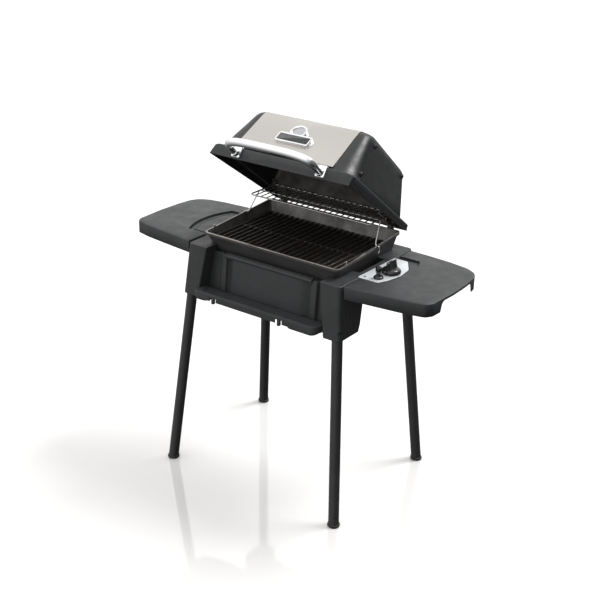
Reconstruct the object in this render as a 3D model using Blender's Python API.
"""Portable gas grill on four splayed tube legs, modelled with its lid raised.

Frame: metres, +Z up, -Y the cook's side, +X the side with the gas control.
The origin is on the floor at the middle of the four feet.
"""
import math

import bmesh
import bpy
from mathutils import Vector

# ---------------------------------------------------------------- driving sizes
GAP = 0.0004                      # clearance between touching pieces

# fire box, whose rim rises towards the back
RIM_HALF_X = 0.245
RIM_FRONT_Y = -0.1608
RIM_REAR_Y = 0.1738
RIM_MID_Z = 0.7842
RIM_MID_Y = (RIM_FRONT_Y + RIM_REAR_Y) / 2
RIM_TILT = math.radians(3.73)
BOX_WALL = 0.0045
GRID_LEDGE_Z = 0.7470             # the cooking grids lie on this ledge
PLATE_LEDGE_Z = 0.7220            # the heat plate lies on this one
BOX_FLOOR_Z = 0.6600
DRAIN_R = 0.015

# lid, in its own frame: origin on the hinge line, y to the back, z up
HINGE_Y = 0.1877
HINGE_Z = 0.7970
LID_OPEN = math.radians(37.65)    # how far the lid stands open from closed
LID_TURN = RIM_TILT - LID_OPEN
LID_HALF_X = 0.247
LID_SHEET = 0.0035
SEAM_X = 0.1640                   # joint between the hood and its two ends
PIN_X = 0.200
PIN_R = 0.0030

# warming rack
RACK_PIVOT_Y = 0.0430
RACK_PIVOT_Z = 0.7842
RACK_KNEE_Y = 0.0848
RACK_KNEE_Z = 0.8480
RACK_HALF_X = 0.2190
RACK_FRONT_Y = 0.0318
RACK_REAR_Y = 0.1620
RACK_WIRE = 0.0030
LEG_WIRE_R = 0.0020

# lid handle, in the lid's frame
HANDLE_HALF_X = 0.1500
HANDLE_ROOT_Y = -0.3960
HANDLE_ROOT_Z = 0.0160
HANDLE_REACH = 0.0740
HANDLE_RISE = 0.0140
HANDLE_R = 0.0120

# moulded base
BASE_TOP_Z = 0.7180
BASE_FLOOR_Z = 0.6000
TOWER_TOP_Z = 0.7400
TOWER_LOW_Z = 0.5790
SIDE_X = 0.2810

# legs: the axis of each leg as x and y on the floor and their change per metre of height
LEG_FOOT_X = 0.3158
LEG_FOOT_Y = 0.2402
LEG_LEAN_X = 0.0815
LEG_LEAN_Y = 0.0890
LEG_R = 0.0160
LEG_WALL = 0.0015
LEG_TOP_Z = 0.6980
BUTTON_Z = 0.6050
BUTTON_R = 0.0040

# side shelves and consoles
SHELF_TOP_Z = 0.7441
SHELF_SKIRT = 0.0400
SHELF_PLATE = 0.0040
CONSOLE_TOP_Z = 0.7380
CONSOLE_ARC_R = 0.2200
CONSOLE_TIP_X = 0.3780
CONSOLE_HALF_Y = 0.1230
TONGUE_Y = 0.1400

# gas control and igniter
KNOB_X = 0.3270
KNOB_Y = -0.0130
IGNITER_X = 0.3200
IGNITER_Y = -0.0690

COLOURS = {
    "black_plastic": ((0.045, 0.047, 0.050), 0.55, 0.0),
    "cast_black": ((0.030, 0.031, 0.033), 0.50, 0.2),
    "stainless": ((0.66, 0.64, 0.61), 0.35, 1.0),
    "chrome": ((0.75, 0.75, 0.76), 0.12, 1.0),
    "cast_iron": ((0.020, 0.020, 0.021), 0.60, 0.4),
    "steel": ((0.40, 0.40, 0.40), 0.40, 1.0),
    "brass": ((0.62, 0.47, 0.20), 0.35, 1.0),
    "leg_paint": ((0.035, 0.037, 0.040), 0.40, 0.2),
    "foot_rubber": ((0.020, 0.020, 0.022), 0.65, 0.0),
    "knob_plastic": ((0.015, 0.015, 0.016), 0.30, 0.0),
    "ceramic": ((0.80, 0.78, 0.72), 0.45, 0.0),
}


# ---------------------------------------------------------------- small tools
def clear_scene():
    for old in list(bpy.data.objects):
        bpy.data.objects.remove(old, do_unlink=True)


def material(key):
    found = bpy.data.materials.get(key)
    if found:
        return found
    colour, roughness, metallic = COLOURS[key]
    made = bpy.data.materials.new(key)
    made.use_nodes = True
    shader = made.node_tree.nodes["Principled BSDF"]
    shader.inputs["Base Color"].default_value = (*colour, 1.0)
    shader.inputs["Roughness"].default_value = roughness
    shader.inputs["Metallic"].default_value = metallic
    return made


def add_object(name, mesh, key, parent=None):
    thing = bpy.data.objects.new(name, mesh)
    bpy.context.scene.collection.objects.link(thing)
    if key:
        mesh.materials.append(material(key))
    if parent:
        thing.parent = parent
    return thing


def finish_mesh(name, bm, key, parent=None, smooth=False):
    bmesh.ops.recalc_face_normals(bm, faces=bm.faces)
    mesh = bpy.data.meshes.new(name)
    bm.to_mesh(mesh)
    bm.free()
    if smooth:
        mesh.shade_smooth()
        mesh.set_sharp_from_angle(angle=math.radians(40))
    return add_object(name, mesh, key, parent)


def loft(name, rings, key, parent=None, closed=False, smooth=False):
    """Skin a list of equal rings; the ends are capped unless the rings close on themselves."""
    bm = bmesh.new()
    rows = [[bm.verts.new(point) for point in ring] for ring in rings]
    count = len(rows[0])
    pairs = list(zip(rows, rows[1:]))
    if closed:
        pairs.append((rows[-1], rows[0]))
    for low, high in pairs:
        for i in range(count):
            j = (i + 1) % count
            bm.faces.new((low[i], low[j], high[j], high[i]))
    if not closed:
        bm.faces.new(rows[0])
        bm.faces.new(rows[-1])
    return finish_mesh(name, bm, key, parent, smooth)


def box(name, low, high, key, parent=None):
    corners = ((low[0], low[1]), (high[0], low[1]), (high[0], high[1]), (low[0], high[1]))
    rings = [[(x, y, z) for x, y in corners] for z in (low[2], high[2])]
    return loft(name, rings, key, parent)


def rounded_ring(half_x, y_front, y_rear, radius, z_front, z_rear=None, steps=3):
    """Rounded rectangle seen from above whose height changes evenly from front to rear."""
    if z_rear is None:
        z_rear = z_front
    corners = (
        (half_x - radius, y_rear - radius, 0),
        (-half_x + radius, y_rear - radius, 90),
        (-half_x + radius, y_front + radius, 180),
        (half_x - radius, y_front + radius, 270),
    )
    ring = []
    for x, y, start in corners:
        for step in range(steps + 1):
            angle = math.radians(start + 90 * step / steps)
            px = x + radius * math.cos(angle)
            py = y + radius * math.sin(angle)
            part = (py - y_front) / (y_rear - y_front)
            ring.append((px, py, z_front + (z_rear - z_front) * part))
    return ring


def offset_outline(points, distance):
    """Move each side of a counter-clockwise outline inwards by the distance."""
    moved = []
    count = len(points)
    for i in range(count):
        before = Vector(points[i - 1])
        here = Vector(points[i])
        after = Vector(points[(i + 1) % count])
        first = (here - before).normalized()
        second = (after - here).normalized()
        normal_1 = Vector((-first.y, first.x))
        normal_2 = Vector((-second.y, second.x))
        middle = (normal_1 + normal_2).normalized()
        moved.append(tuple(here + middle * (distance / max(0.35, middle.dot(normal_1)))))
    return moved


def tray_rings(outline, z_top, z_low, wall, plate):
    """Rings of a shell with a flat top plate and a skirt, open from below."""
    inner = offset_outline(outline, wall)
    return [
        [(x, y, z_top) for x, y in outline],
        [(x, y, z_low) for x, y in outline],
        [(x, y, z_low) for x, y in inner],
        [(x, y, z_top - plate) for x, y in inner],
    ]


def circle_ring(centre, u, v, radius, sides):
    turns = [math.tau * i / sides for i in range(sides)]
    return [centre + (u * math.cos(a) + v * math.sin(a)) * radius for a in turns]


def side_vectors(axis):
    helper = Vector((0, 0, 1)) if abs(axis.z) < 0.9 else Vector((1, 0, 0))
    u = axis.cross(helper).normalized()
    return u, axis.cross(u).normalized()


def turned(name, profile, start, axis, key, parent=None, sides=16, closed=False):
    """Solid of revolution: profile holds (distance along axis, radius) pairs."""
    start = Vector(start)
    axis = Vector(axis).normalized()
    u, v = side_vectors(axis)
    rings = [circle_ring(start + axis * along, u, v, radius, sides) for along, radius in profile]
    return loft(name, rings, key, parent, closed=closed, smooth=True)


def rod(name, start, end, radius, key, parent=None, sides=12):
    start = Vector(start)
    span = Vector(end) - start
    return turned(name, ((0, radius), (span.length, radius)), start, span, key, parent, sides)


def wire(name, points, radius, key, parent=None, resolution=2, cyclic=False):
    curve = bpy.data.curves.new(name, "CURVE")
    curve.dimensions = "3D"
    spline = curve.splines.new("POLY")
    spline.points.add(len(points) - 1)
    for slot, point in zip(spline.points, points):
        slot.co = (*point, 1.0)
    spline.use_cyclic_u = cyclic
    curve.bevel_depth = radius
    curve.bevel_resolution = resolution
    curve.use_fill_caps = True
    return add_object(name, curve, key, parent)


def cell_plate(name, xs, ys, is_solid, z_low, z_high, key, parent=None):
    """Plate made of the solid cells of a grid of x and y lines, with real openings between."""
    bm = bmesh.new()
    corners = {}

    def vert(i, j, top):
        tag = (i, j, top)
        if tag not in corners:
            corners[tag] = bm.verts.new((xs[i], ys[j], z_high if top else z_low))
        return corners[tag]

    columns = len(xs) - 1
    rows = len(ys) - 1

    def solid(i, j):
        return 0 <= i < columns and 0 <= j < rows and is_solid(i, j)

    for i in range(columns):
        for j in range(rows):
            if not solid(i, j):
                continue
            square = ((i, j), (i + 1, j), (i + 1, j + 1), (i, j + 1))
            bm.faces.new([vert(a, b, True) for a, b in square])
            bm.faces.new([vert(a, b, False) for a, b in reversed(square)])
            beyond = ((i, j - 1), (i + 1, j), (i, j + 1), (i - 1, j))
            for side, (next_i, next_j) in enumerate(beyond):
                if solid(next_i, next_j):
                    continue
                a = square[side]
                b = square[(side + 1) % 4]
                bm.faces.new((vert(*a, False), vert(*b, False), vert(*b, True), vert(*a, True)))
    return finish_mesh(name, bm, key, parent)


def boolean(target, tools, operation):
    for tool in tools:
        change = target.modifiers.new(tool.name, "BOOLEAN")
        change.operation = operation
        change.object = tool
        tool.hide_render = True
        tool.display_type = "WIRE"
    return target


def cut(target, *tools):
    return boolean(target, tools, "DIFFERENCE")


def weld(target, *tools):
    return boolean(target, tools, "UNION")


def axis_empty(name, location, turn=0.0):
    empty = bpy.data.objects.new(name, None)
    empty.location = location
    empty.rotation_euler = (turn, 0, 0)
    bpy.context.scene.collection.objects.link(empty)
    bpy.context.view_layer.update()
    return empty


def leg_point(side_x, side_y, z):
    x = side_x * (LEG_FOOT_X - LEG_LEAN_X * z)
    y = side_y * (LEG_FOOT_Y - LEG_LEAN_Y * z)
    return Vector((x, y, z))


CORNERS = {
    "front_left": (-1, -1),
    "front_right": (1, -1),
    "rear_left": (-1, 1),
    "rear_right": (1, 1),
}
SIDES = {"left": -1, "right": 1}


# ---------------------------------------------------------------- fire box
def rim_z(y):
    return RIM_MID_Z + math.tan(RIM_TILT) * (y - RIM_MID_Y)


def box_ring(inset, drop, radius):
    """Ring parallel to the rim, inset from it and dropped below it."""
    front = RIM_FRONT_Y + inset
    rear = RIM_REAR_Y - inset
    return rounded_ring(RIM_HALF_X - inset, front, rear, radius, rim_z(front) - drop, rim_z(rear) - drop)


def level_ring(inset, z, radius):
    return rounded_ring(RIM_HALF_X - inset, RIM_FRONT_Y + inset, RIM_REAR_Y - inset, radius, z)


def make_fire_box():
    """Cast box with a tilted rim, one ledge for the grids and one for the heat plate."""
    rings = [
        level_ring(0.048, BOX_FLOOR_Z - BOX_WALL, 0.020),
        level_ring(0.036, 0.700, 0.020),
        level_ring(0.0125, 0.7445, 0.0155),
        box_ring(0.004, 0.012, 0.015),
        box_ring(0.000, 0.010, 0.015),
        box_ring(0.000, 0.000, 0.015),
        box_ring(BOX_WALL, 0.000, 0.012),
        level_ring(0.0150, GRID_LEDGE_Z + 0.002, 0.010),
        level_ring(0.0155, GRID_LEDGE_Z, 0.010),
        level_ring(0.0260, GRID_LEDGE_Z, 0.012),
        level_ring(0.0280, PLATE_LEDGE_Z, 0.012),
        level_ring(0.0380, PLATE_LEDGE_Z, 0.012),
        level_ring(0.0530, BOX_FLOOR_Z, 0.016),
    ]
    body = loft("firebox", rings, "cast_black")
    tools = [rod("drain_hole", (0, 0, 0.64), (0, 0, 0.68), DRAIN_R, None)]
    tools.append(rod("venturi_hole", (0.17, KNOB_Y, 0.690), (0.26, KNOB_Y, 0.690), 0.0135, None))
    for side in SIDES.values():
        low_x, high_x = sorted((side * 0.235, side * 0.250))
        low = (low_x, RACK_PIVOT_Y - 0.003, RACK_PIVOT_Z - LEG_WIRE_R - 0.0012)
        tools.append(box(f"rim_notch_{side}", low, (high_x, RACK_PIVOT_Y + 0.003, 0.80), None))
    cut(body, *tools)


def make_hinge_brackets():
    """Lugs on the back of the fire box that hold the hinge pins."""
    for word, side in SIDES.items():
        bracket_x = (side * PIN_X - 0.006, side * PIN_X + 0.006)
        lug = box(
            f"hinge_bracket_{word}",
            (bracket_x[0], RIM_REAR_Y + GAP + 0.0002, 0.7720),
            (bracket_x[1], HINGE_Y + 0.0070, HINGE_Z + 0.0070),
            "cast_black",
        )
        hole = rod(f"bracket_bore_{word}", (side * PIN_X - 0.02, HINGE_Y, HINGE_Z),
                   (side * PIN_X + 0.02, HINGE_Y, HINGE_Z), PIN_R + 0.0004, None)
        cut(lug, hole)
        rod(f"hinge_pin_{word}", (side * PIN_X - 0.013, HINGE_Y, HINGE_Z),
            (side * PIN_X + 0.013, HINGE_Y, HINGE_Z), PIN_R, "steel")


def make_grids():
    """Two cast grids whose bars run from front to back, stepped where the box has its corners."""
    depth = (-0.1450, 0.1570)
    z_high = GRID_LEDGE_Z + GAP + 0.0120
    bars = 12
    width = 0.2270
    bar = 0.0065
    for word, side in SIDES.items():
        start = GAP if side > 0 else -GAP - width
        pitch = (width - bar) / (bars - 1)
        xs = []
        for i in range(bars):
            xs += [start + i * pitch, start + i * pitch + bar]
        middle = (depth[0] + depth[1]) / 2
        ys = [depth[0], depth[0] + 0.0045, depth[0] + 0.009, middle - 0.004, middle + 0.004,
              depth[1] - 0.009, depth[1] - 0.0045, depth[1]]
        outer = (0, 1) if side < 0 else (2 * bars - 2, 2 * bars - 3)

        def is_iron(i, j, outer=outer):
            if j in (0, 6) and i in outer:
                return False
            return i % 2 == 0 or j not in (2, 4)

        cell_plate(f"cooking_grid_{word}", xs, ys, is_iron, GRID_LEDGE_Z + GAP, z_high, "cast_iron")


def make_heat_plate():
    """Folded steel sheet over the burner that lies on the lower ledge by its two ends."""
    folds = 6
    half_x = 0.2120
    sheet = 0.0012
    low = PLATE_LEDGE_Z + GAP
    rise = 0.0180
    top = []
    for i in range(2 * folds + 1):
        x = -half_x + half_x * i / folds
        top.append((x, low + sheet + (rise if i % 2 else 0.0)))
    outline = top + [(x, z - sheet) for x, z in reversed(top)]
    rings = [[(x, y, z) for x, z in outline] for y in (-0.1180, 0.1310)]
    loft("heat_plate", rings, "steel")


def make_burner():
    """Oblong tube burner with its mixing tube, gas jet side to the right."""
    half_x, half_y, z = 0.150, 0.070, 0.690
    ring = rounded_ring(half_x, KNOB_Y - half_y, KNOB_Y + half_y, 0.045, z, steps=5)
    wire("burner", ring, 0.0110, "steel", resolution=2, cyclic=True)
    mouth = 0.262
    profile = ((0, 0.0100), (mouth - 0.2, 0.0100), (mouth - 0.178, 0.0115), (mouth - 0.162, 0.0125))
    inner = tuple((along, radius - 0.0015) for along, radius in reversed(profile))
    turned("venturi_tube", profile + inner, (0.1620, KNOB_Y, z), (1, 0, 0), "steel",
           sides=16, closed=True)


def make_igniter_lead():
    """Spark electrode beside the burner and its insulated lead to the push button."""
    rod("electrode", (0.1900, -0.1000, 0.6900), (0.1300, -0.0960, 0.7010), 0.0030, "ceramic", sides=10)


# ---------------------------------------------------------------- moulded base
def tower_rings(side_x, side_y):
    """Leg socket at a corner, drafted outwards like the leg it holds."""
    rings = []
    for z, reach_y in ((TOWER_LOW_Z, 0.090), (0.640, 0.115), (TOWER_TOP_Z, 0.128)):
        axis = leg_point(1, 1, z)
        radius = LEG_R + 0.0045
        outline = [(0.2130 + 0.09 * (TOWER_TOP_Z - z), axis.y + radius)]
        outline.append((outline[0][0], axis.y - reach_y + radius))
        outline.append((axis.x + radius, axis.y - reach_y + radius))
        for step in range(5):
            angle = math.radians(90 * step / 4)
            outline.append((axis.x + radius * math.cos(angle), axis.y + radius * math.sin(angle)))
        rings.append([(side_x * x, side_y * y, z) for x, y in outline])
    return rings


def half_front_outline(z):
    """Right half of the front of the base: bulged panel, then a recess up to the tower."""
    draft = LEG_LEAN_Y * (BASE_TOP_Z - z)
    return [
        (0.1560, -0.1640 - draft),
        (0.1700, -0.1610 - draft),
        (0.1760, -0.1500 - draft),
        (0.1860, -0.1490 - draft),
        (0.1900, -0.1540 - draft),
        (0.1950, -0.1490 - draft),
        (0.2450, -0.1490 - draft),
    ]


def base_outline(z):
    front = half_front_outline(z)
    front = [(-x, y) for x, y in reversed(front)] + front
    wing = 0.2620 + LEG_LEAN_X * (BASE_TOP_Z - z)
    rear_y = 0.1640 + LEG_LEAN_Y * (BASE_TOP_Z - z)
    return front + [(wing, -0.1300), (wing, 0.1300), (0.2400, rear_y), (-0.2400, rear_y),
                    (-wing, 0.1300), (-wing, -0.1300)]


def make_base():
    """One moulded tub: bulged front, four leg sockets, a floor and a tray window at the back."""
    rings = [[(x, y, z) for x, y in base_outline(z)] for z in (BASE_FLOOR_Z - 0.004, BASE_TOP_Z)]
    tub = loft("base_tub", rings, "black_plastic")
    towers = [loft(f"tower_{word}", tower_rings(*corner), None) for word, corner in CORNERS.items()]
    weld(tub, *towers)

    well = [
        rounded_ring(0.2350, -0.1420, 0.1500, 0.020, BASE_FLOOR_Z),
        rounded_ring(0.2350, -0.1420, 0.1500, 0.020, 0.6880),
        level_ring(0.0350, 0.7000, 0.016),
        level_ring(0.0030, rim_z(RIM_FRONT_Y) - 0.0120, 0.016),
    ]
    tools = [loft("well", well, None)]
    tools.append(box("tray_window", (-0.1140, 0.1400, BASE_FLOOR_Z), (0.1140, 0.2000, 0.6340), None))
    for word, (side_x, side_y) in CORNERS.items():
        low = leg_point(side_x, side_y, 0.550)
        high = leg_point(side_x, side_y, LEG_TOP_Z + 0.001)
        tools.append(rod(f"socket_{word}", low, high, LEG_R + 0.0004, None, sides=20))
        start, outwards = button_line(side_x, side_y)
        tools.append(rod(f"button_hole_{word}", start, start + outwards * 0.040, BUTTON_R + 0.0005, None))
        low_x, high_x = sorted((side_x * 0.2300, side_x * 0.3000))
        low = (low_x, side_y * TONGUE_Y - 0.0105, 0.7050)
        high = (high_x, side_y * TONGUE_Y + 0.0105, 0.7195)
        tools.append(box(f"tongue_slot_{word}", low, high, None))
    tools.append(rod("lead_hole", (0.2200, -0.0500, 0.7000), (0.3000, -0.0500, 0.7000), 0.0060, None))
    tools.append(rod("venturi_window", (0.1950, KNOB_Y, 0.690), (0.3000, KNOB_Y, 0.690), 0.0160, None))
    cut(tub, *tools)


def make_ledge():
    """Narrow front shelf with two hooks for tools under its edge."""
    corner = 0.016
    back_y = -0.1805
    outline = []
    for start_x, turn in ((-0.2100 + corner, 180), (0.2100 - corner, 270)):
        for step in range(4):
            angle = math.radians(turn + 90 * step / 3)
            outline.append((start_x + corner * math.cos(angle), -0.2290 + corner + corner * math.sin(angle)))
    outline += [(0.2100, back_y), (-0.2100, back_y)]
    ledge = loft("front_ledge", tray_rings(outline, 0.6120, 0.5840, 0.0035, 0.0035), "black_plastic")
    notches = []
    for place in (-0.1550, 0.0900):
        notches.append(box(f"hook_notch_{place}", (place - 0.012, -0.2400, 0.5700),
                           (place - 0.005, -0.2200, 0.6020), None))
        notches.append(box(f"hook_gap_{place}", (place + 0.005, -0.2400, 0.5700),
                           (place + 0.012, -0.2200, 0.6020), None))
    cut(ledge, *notches)


def console_outline(clearance=0.0):
    """D-shaped outline of the fixed console on the right, with its flat side to the base."""
    outline = [(0.2822, -CONSOLE_HALF_Y - clearance)]
    radius = CONSOLE_ARC_R + clearance
    centre_x = CONSOLE_TIP_X - CONSOLE_ARC_R
    end = math.asin((CONSOLE_HALF_Y + clearance) / radius)
    steps = 8
    for step in range(steps + 1):
        angle = end * (2 * step / steps - 1)
        outline.append((centre_x + radius * math.cos(angle), radius * math.sin(angle)))
    outline.append((0.2822, CONSOLE_HALF_Y + clearance))
    return outline


def make_consoles():
    for word, side in SIDES.items():
        outline = console_outline()
        if side < 0:
            outline = [(-x, y) for x, y in reversed(outline)]
        rings = tray_rings(outline, CONSOLE_TOP_Z, 0.6900, 0.0030, 0.0035)
        body = loft(f"side_console_{word}", rings, "black_plastic")
        if side < 0:
            continue
        holes = [
            rod("stem_hole", (KNOB_X, KNOB_Y, 0.72), (KNOB_X, KNOB_Y, 0.75), 0.0075, None),
            rod("igniter_hole", (IGNITER_X, IGNITER_Y, 0.72), (IGNITER_X, IGNITER_Y, 0.75), 0.0105, None),
            rod("console_window", (0.2700, KNOB_Y, 0.690), (0.2900, KNOB_Y, 0.690), 0.0180, None),
            rod("console_lead_hole", (0.2700, -0.0500, 0.700), (0.2900, -0.0500, 0.700), 0.0070, None),
        ]
        cut(body, *holes)


def make_control_plate():
    outline = [(0.2840, -0.0990), (0.3300, -0.1050), (0.3450, -0.0800), (0.3610, -0.0150),
               (0.3540, 0.0400), (0.3300, 0.0900), (0.2840, 0.0900)]
    rings = [[(x, y, z) for x, y in outline] for z in (CONSOLE_TOP_Z + GAP, CONSOLE_TOP_Z + 0.0018)]
    plate = loft("control_plate", rings, "stainless")
    low_z, high_z = CONSOLE_TOP_Z - 0.01, CONSOLE_TOP_Z + 0.01
    cut(
        plate,
        rod("plate_stem_hole", (KNOB_X, KNOB_Y, low_z), (KNOB_X, KNOB_Y, high_z), 0.0075, None),
        rod("plate_igniter_hole", (IGNITER_X, IGNITER_Y, low_z), (IGNITER_X, IGNITER_Y, high_z),
            0.0105, None),
    )


def make_gas_control():
    """Valve under the console with its stem, the knob on it, and the hose inlet."""
    body = box("valve_body", (KNOB_X - 0.016, KNOB_Y - 0.014, 0.6930),
               (KNOB_X + 0.016, KNOB_Y + 0.014, 0.7300), "brass")
    bore = rod("valve_bore", (KNOB_X, KNOB_Y, 0.7060), (KNOB_X, KNOB_Y, 0.7400), 0.0055, None)
    cut(body, bore)
    rod("gas_inlet", (KNOB_X + 0.0164, KNOB_Y, 0.7080), (KNOB_X + 0.0400, KNOB_Y, 0.7080), 0.0070, "brass")
    push_axis = axis_empty("knob_axis", (KNOB_X, KNOB_Y, CONSOLE_TOP_Z))
    turned("valve_stem", ((-0.0270, 0.0048), (0.0120, 0.0048)), (0, 0, 0), (0, 0, 1), "brass", push_axis)
    knob = turned("control_knob", ((0.0058, 0.0270), (0.0100, 0.0290), (0.0155, 0.0250), (0.0210, 0.0190)),
                  (0, 0, 0), (0, 0, 1), "knob_plastic", push_axis, sides=24)
    fin = [[(x, y, z) for x, y in ((-w, -d), (w, -d), (w, d), (-w, d))]
           for z, w, d in ((0.0150, 0.0110, 0.0230), (0.0310, 0.0075, 0.0235), (0.0350, 0.0050, 0.0200))]
    weld(knob, loft("knob_fin", fin, None, push_axis))
    bore_depth = ((0.0000, 0.0053), (0.0124, 0.0053))
    cut(knob, turned("knob_bore", bore_depth, (0, 0, 0), (0, 0, 1), None, push_axis))


def make_igniter():
    """Push-button spark generator held through the console."""
    axis = axis_empty("igniter_axis", (IGNITER_X, IGNITER_Y, CONSOLE_TOP_Z))
    outer = ((-0.0350, 0.0095), (0.0022, 0.0095), (0.0022, 0.0130), (0.0080, 0.0130), (0.0100, 0.0110))
    inner = ((0.0100, 0.0080), (-0.0100, 0.0080), (-0.0100, 0.0030), (-0.0350, 0.0030))
    turned("igniter_body", outer + inner, (0, 0, 0), (0, 0, 1), "knob_plastic", axis, sides=20, closed=True)
    turned("igniter_button", ((-0.0020, 0.0072), (0.0180, 0.0072), (0.0300, 0.0090), (0.0350, 0.0085),
                              (0.0360, 0.0070)), (0, 0, 0), (0, 0, 1), "knob_plastic", axis, sides=20)
    lead = [(IGNITER_X, IGNITER_Y, 0.7020), (0.3150, -0.0600, 0.6985), (0.3000, -0.0510, 0.7000),
            (0.2700, -0.0500, 0.7000), (0.2300, -0.0500, 0.7000)]
    wire("ignition_wire", lead, 0.0018, "knob_plastic", resolution=2)


# ---------------------------------------------------------------- shelves
def shelf_outline():
    """Right shelf seen from above, counter-clockwise, with its notch round the console."""
    outer = [
        (0.2824, -0.1866), (0.3900, -0.1745), (0.4700, -0.1640), (0.5220, -0.1520), (0.5345, -0.1310),
        (0.5410, -0.0300), (0.5390, 0.0500), (0.5330, 0.1050), (0.5180, 0.1340), (0.4850, 0.1530),
        (0.4250, 0.1640), (0.3450, 0.1705), (0.2824, 0.1725),
    ]
    notch = list(reversed(console_outline(0.0010)))
    return outer + [(0.2824, notch[0][1])] + notch[1:-1] + [(0.2824, notch[-1][1])]


def make_shelves():
    """Two side shelves that slide on by tongues; each has a hand hole in its outer skirt."""
    for word, side in SIDES.items():
        outline = shelf_outline()
        if side < 0:
            outline = [(-x, y) for x, y in reversed(outline)]
        rings = tray_rings(outline, SHELF_TOP_Z, SHELF_TOP_Z - SHELF_SKIRT, 0.0030, SHELF_PLATE)
        shelf = loft(f"shelf_{word}", rings, "black_plastic")
        tongues = []
        for place in (-1, 1):
            low_x, high_x = sorted((side * 0.2420, side * 0.2845))
            low = (low_x, place * TONGUE_Y - 0.0100, 0.7056)
            tongues.append(box(f"tongue_{word}_{place}", low,
                               (high_x, place * TONGUE_Y + 0.0100, 0.7190), None))
        weld(shelf, *tongues)
        low_x, high_x = sorted((side * 0.5000, side * 0.5600))
        arch = [[(x, y * (1 - 0.25 * (z > 0.72)), z) for x, y in
                 ((low_x, -0.0980), (high_x, -0.0980), (high_x, 0.0900), (low_x, 0.0900))]
                for z in (0.6900, 0.7150, 0.7385)]
        cut(shelf, loft(f"hand_hole_{word}", arch, None))


# ---------------------------------------------------------------- legs
def button_line(side_x, side_y):
    """Start point on the leg axis and outward direction of a leg's snap button."""
    return leg_point(side_x, side_y, BUTTON_Z), Vector((side_x, side_y, 0)).normalized()


def make_legs():
    for word, (side_x, side_y) in CORNERS.items():
        low = leg_point(side_x, side_y, 0.0085)
        high = leg_point(side_x, side_y, LEG_TOP_Z)
        span = high - low
        bore = LEG_R - LEG_WALL
        profile = ((0, LEG_R), (span.length, LEG_R), (span.length, bore), (0, bore))
        leg = turned(f"leg_{word}", profile, low, span, "leg_paint", sides=20, closed=True)
        start, outwards = button_line(side_x, side_y)
        cut(leg, rod(f"leg_hole_{word}", start, start + outwards * 0.030, BUTTON_R + 0.0005, None))

        pivot = axis_empty(f"button_axis_{word}", start)
        turned(f"leg_button_{word}", ((0.0080, 0.0055), (0.0122, 0.0055), (0.0122, BUTTON_R),
                                      (0.0225, BUTTON_R), (0.0238, BUTTON_R - 0.0012)),
               (0, 0, 0), outwards, "steel", pivot, sides=12)

        u = Vector((1, 0, 0))
        v = Vector((0, 1, 0))

        def level(z, radius):
            return circle_ring(leg_point(side_x, side_y, z), u, v, radius, 20)

        rings = [level(0.0, 0.0170), level(0.0020, 0.0190), level(0.0120, 0.0190), level(0.0460, 0.0180),
                 level(0.0460, LEG_R + 0.0006), level(0.0058, LEG_R + 0.0006)]
        loft(f"foot_{word}", rings, "foot_rubber", smooth=True)


def make_tray():
    """Grease tray on the floor of the base, drawn out at the back."""
    rings = [
        rounded_ring(0.1080, -0.1000, 0.1700, 0.010, BASE_FLOOR_Z + GAP),
        rounded_ring(0.1120, -0.1040, 0.1740, 0.012, 0.6260),
        rounded_ring(0.1105, -0.1025, 0.1725, 0.011, 0.6260),
        rounded_ring(0.1065, -0.0985, 0.1685, 0.009, BASE_FLOOR_Z + 0.0020),
    ]
    tray = loft("grease_tray", rings, "steel")
    lip = box("tray_lip", (-0.0400, 0.1720, 0.6190), (0.0400, 0.1900, 0.6215), None)
    weld(tray, lip)


# ---------------------------------------------------------------- lid
def lid_rings(inset):
    """Rings of the hood in the lid's frame, from its lower edge to the top."""
    def ring(half_x, front, rear, radius, z_front, z_rear):
        return rounded_ring(half_x - inset, front + inset, rear - inset, radius, z_front, z_rear)

    top_drop = inset
    return [
        ring(LID_HALF_X, -0.3830, 0.0196, 0.006, 0.0010, 0.0010),
        ring(LID_HALF_X, -0.3810, 0.0196, 0.006, 0.0190 - top_drop, 0.0190 - top_drop),
        ring(0.2440, -0.3770, -0.0340, 0.008, 0.0340 - top_drop, 0.0300 - top_drop),
        ring(0.2395, -0.3750, -0.0360, 0.010, 0.0400, 0.0400),
        ring(0.2125, -0.3230, -0.0500, 0.014, 0.1360, 0.1330),
        ring(0.2060, -0.3070, -0.0560, 0.016, 0.1650 - top_drop, 0.1480 - top_drop),
        ring(0.2030, -0.2960, -0.0680, 0.016, 0.1790 - top_drop, 0.1570 - top_drop),
        ring(0.1960, -0.2780, -0.1100, 0.016, 0.1840 - top_drop, 0.1690 - top_drop),
    ]


def make_lid(axis):
    """Hood of three cast and pressed pieces with a stainless front."""
    outer = lid_rings(0.0)
    inner = lid_rings(LID_SHEET)
    rings = list(reversed(outer)) + inner
    far = 0.5
    extents = {
        "lid_shell": (-SEAM_X + GAP, SEAM_X - GAP),
        "lid_end_left": (-far, -SEAM_X),
        "lid_end_right": (SEAM_X, far),
    }
    for name, (low_x, high_x) in extents.items():
        piece = loft(name, rings, "cast_black", axis)
        keep = box(f"{name}_extent", (low_x, -far, -0.1), (high_x, far, 0.3), None, axis)
        boolean(piece, [keep], "INTERSECT")


def face_point(along, proud):
    """Point (y, z) on the lid's sloped front: along 0 at the skirt, 1 at the crest."""
    low = Vector((-0.3750, 0.0400))
    high = Vector((-0.3070, 0.1650))
    run = high - low
    outwards = Vector((-run.y, run.x)).normalized()
    return low + run * along + outwards * proud


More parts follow.
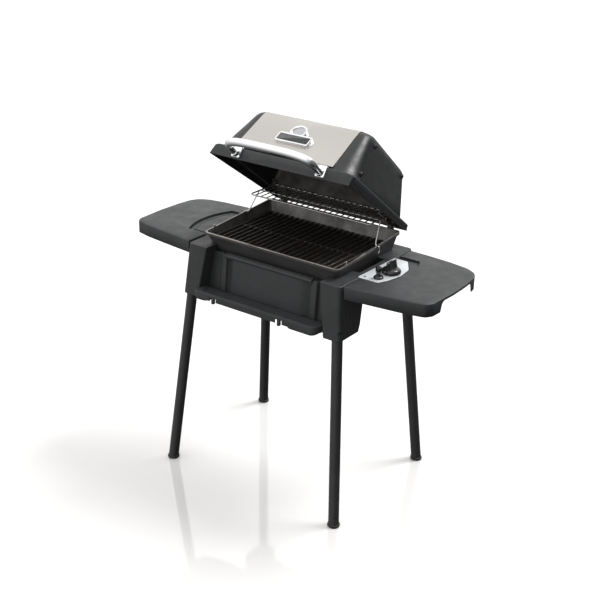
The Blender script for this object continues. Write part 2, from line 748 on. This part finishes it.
def make_front_panel(axis):
    """Stainless sheet on the sloped front that wraps over the crest."""
    def skin(proud):
        points = [face_point(0.005, proud), face_point(0.55, proud + 0.0006), face_point(0.985, proud)]
        points.append(Vector((-0.2965 - proud * 0.6, 0.1795 + proud * 0.8)))
        points.append(Vector((-0.2790, 0.1846 + proud)))
        return points

    outline = skin(0.0018) + list(reversed(skin(0.0006)))
    rings = [[(x, point.x, point.y) for point in outline] for x in (-SEAM_X + 0.001, SEAM_X - 0.001)]
    loft("lid_front_panel", rings, "stainless", axis)


def make_nameplate(axis):
    """Blank banner with a round boss behind its middle."""
    rings = []
    for proud in (0.0024, 0.0055):
        ring = []
        for x, along in ((-0.060, 0.42), (0.060, 0.42), (0.060, 0.64), (0.020, 0.64), (0.017, 0.80),
                         (0.009, 0.90), (-0.009, 0.90), (-0.017, 0.80), (-0.020, 0.64), (-0.060, 0.64)):
            point = face_point(along, proud)
            ring.append((x, point.x, point.y))
        rings.append(ring)
    loft("nameplate", rings, "chrome", axis)


def handle_path():
    """Bar that leaves one foot, turns to run in front of the lid and turns back to the other foot."""
    path = [(-HANDLE_HALF_X, HANDLE_ROOT_Y + 0.0030, HANDLE_ROOT_Z)]
    steps = 28
    for i in range(steps + 1):
        angle = math.pi * i / steps
        across = -math.copysign(abs(math.cos(angle)) ** 0.55, math.cos(angle))
        out = max(0.0, math.sin(angle)) ** 0.5
        y = HANDLE_ROOT_Y - HANDLE_REACH * out
        path.append((HANDLE_HALF_X * across, y, HANDLE_ROOT_Z + HANDLE_RISE * out))
    return path + [(HANDLE_HALF_X, HANDLE_ROOT_Y + 0.0030, HANDLE_ROOT_Z)]


def make_handle(axis):
    wire("handle_bar", handle_path(), HANDLE_R, "chrome", axis, resolution=3)
    for word, side in SIDES.items():
        low_x, high_x = sorted((side * 0.1340, side * 0.1660))
        foot = box(f"handle_foot_{word}", (low_x, -0.3865, 0.0060), (high_x, -0.3835, 0.0400), "chrome", axis)
        low_x, high_x = sorted((side * 0.1440, side * 0.1560))
        stub = box(f"handle_stub_{word}", (low_x, -0.3925, 0.0100), (high_x, -0.3850, 0.0220), None, axis)
        weld(foot, stub)


def end_face_x(z):
    """Half width of the lid's leaning end at a height in the lid's frame."""
    low_z, low_x = 0.0400, 0.2395
    high_z, high_x = 0.1360, 0.2125
    return low_x + (high_x - low_x) * (z - low_z) / (high_z - low_z)


def make_lid_bolts(axis):
    places = {"front_top": (-0.2620, 0.1415), "front_low": (-0.3260, 0.0520), "rear_top": (-0.0640, 0.1300)}
    for word, side in SIDES.items():
        lean = Vector((1.0, 0.0, 0.2813)).normalized()
        lean.x *= side
        for place, (y, z) in places.items():
            foot = Vector((side * end_face_x(z), y, z)) + lean * 0.0008
            turned(f"lid_bolt_{word}_{place}", ((0, 0.0055), (0.0030, 0.0055), (0.0045, 0.0040)), foot, lean,
                   "steel", axis, sides=12)


def make_lid_hinges(axis):
    """Tabs inside the back of the lid that turn on the hinge pins."""
    for word, side in SIDES.items():
        low_x, high_x = sorted((side * (PIN_X - 0.0095), side * (PIN_X - 0.0065)))
        outline = [(-0.0300, 0.0035), (-0.0100, 0.0005), (0.0030, -0.0065), (0.0075, -0.0040),
                   (0.0080, 0.0040), (0.0030, 0.0150), (-0.0300, 0.0150)]
        rings = [[(x, y, z) for y, z in outline] for x in (low_x, high_x)]
        tab = loft(f"lid_hinge_{word}", rings, "steel", axis)
        bore = rod(f"lid_bore_{word}", (low_x - 0.01, 0, 0), (high_x + 0.01, 0, 0), PIN_R + 0.0005,
                   None, axis)
        cut(tab, bore)


def make_rack_brackets(axis):
    """Slotted plates on the lid's ends in which the rear rail of the rack lies."""
    to_lid = axis.matrix_world.inverted()
    rail = to_lid @ Vector((0, RACK_REAR_Y, RACK_KNEE_Z))
    for word, side in SIDES.items():
        low_x, high_x = sorted((side * 0.2215, side * 0.2235))
        xs = (low_x, high_x)
        outline = [(rail.y + dy, rail.z + dz) for dy, dz in
                   ((-0.012, -0.012), (0.0085, -0.012), (0.0085, 0.012), (-0.012, 0.012))]
        rings = [[(x, y, z) for y, z in outline] for x in xs]
        plate = loft(f"rack_bracket_{word}", rings, "steel", axis)
        near_x, far_x = sorted((side * 0.2222, side * 0.2325))
        flange = box(f"rack_flange_{word}", (near_x, rail.y - 0.0110, rail.z + 0.0098),
                     (far_x, rail.y + 0.0070, rail.z + 0.0118), None, axis)
        weld(plate, flange)
        slot = box(f"rack_slot_{word}", (low_x - 0.01, rail.y - 0.0065, rail.z - 0.0065),
                   (high_x + 0.01, rail.y + 0.0065, rail.z + 0.0065), None, axis)
        cut(plate, slot)


# ---------------------------------------------------------------- warming rack
def make_rack():
    """Wire rack held by two swinging legs in front and by the lid at the back."""
    axis = axis_empty("rack_axis", (0, RACK_KNEE_Y, RACK_KNEE_Z))
    half = RACK_WIRE / 2
    bars = 21
    xs = []
    for i in range(bars):
        x = -RACK_HALF_X + half + (2 * RACK_HALF_X - RACK_WIRE) * i / (bars - 1)
        xs += [x - half, x + half]
    ys = []
    for y in (RACK_FRONT_Y, RACK_KNEE_Y, RACK_REAR_Y):
        ys += [y - half - RACK_KNEE_Y, y + half - RACK_KNEE_Y]
    cell_plate("warming_rack", xs, ys, lambda i, j: i % 2 == 0 or j % 2 == 0, -half, half, "chrome", axis)

    pivot = axis_empty("rack_leg_axis", (0, RACK_PIVOT_Y, RACK_PIVOT_Z))
    for word, side in SIDES.items():
        path = [
            (side * 0.2505, -0.0040, -0.0140),
            (side * 0.2505, 0.0, -0.0060),
            (side * 0.2490, 0.0, 0.0),
            (side * 0.2360, 0.0, 0.0),
            (side * 0.2330, 0.0040, 0.0060),
            (side * 0.2225, RACK_KNEE_Y - RACK_PIVOT_Y, RACK_KNEE_Z - RACK_PIVOT_Z),
        ]
        wire(f"rack_leg_{word}", path, LEG_WIRE_R, "chrome", pivot, resolution=2)


# ---------------------------------------------------------------- whole grill
def main():
    clear_scene()
    make_fire_box()
    make_hinge_brackets()
    make_grids()
    make_heat_plate()
    make_burner()
    make_igniter_lead()
    make_base()
    make_ledge()
    make_consoles()
    make_control_plate()
    make_gas_control()
    make_igniter()
    make_shelves()
    make_legs()
    make_tray()
    lid_axis = axis_empty("lid_axis", (0, HINGE_Y, HINGE_Z), LID_TURN)
    make_lid(lid_axis)
    make_front_panel(lid_axis)
    make_nameplate(lid_axis)
    make_handle(lid_axis)
    make_lid_bolts(lid_axis)
    make_lid_hinges(lid_axis)
    make_rack_brackets(lid_axis)
    make_rack()


main()
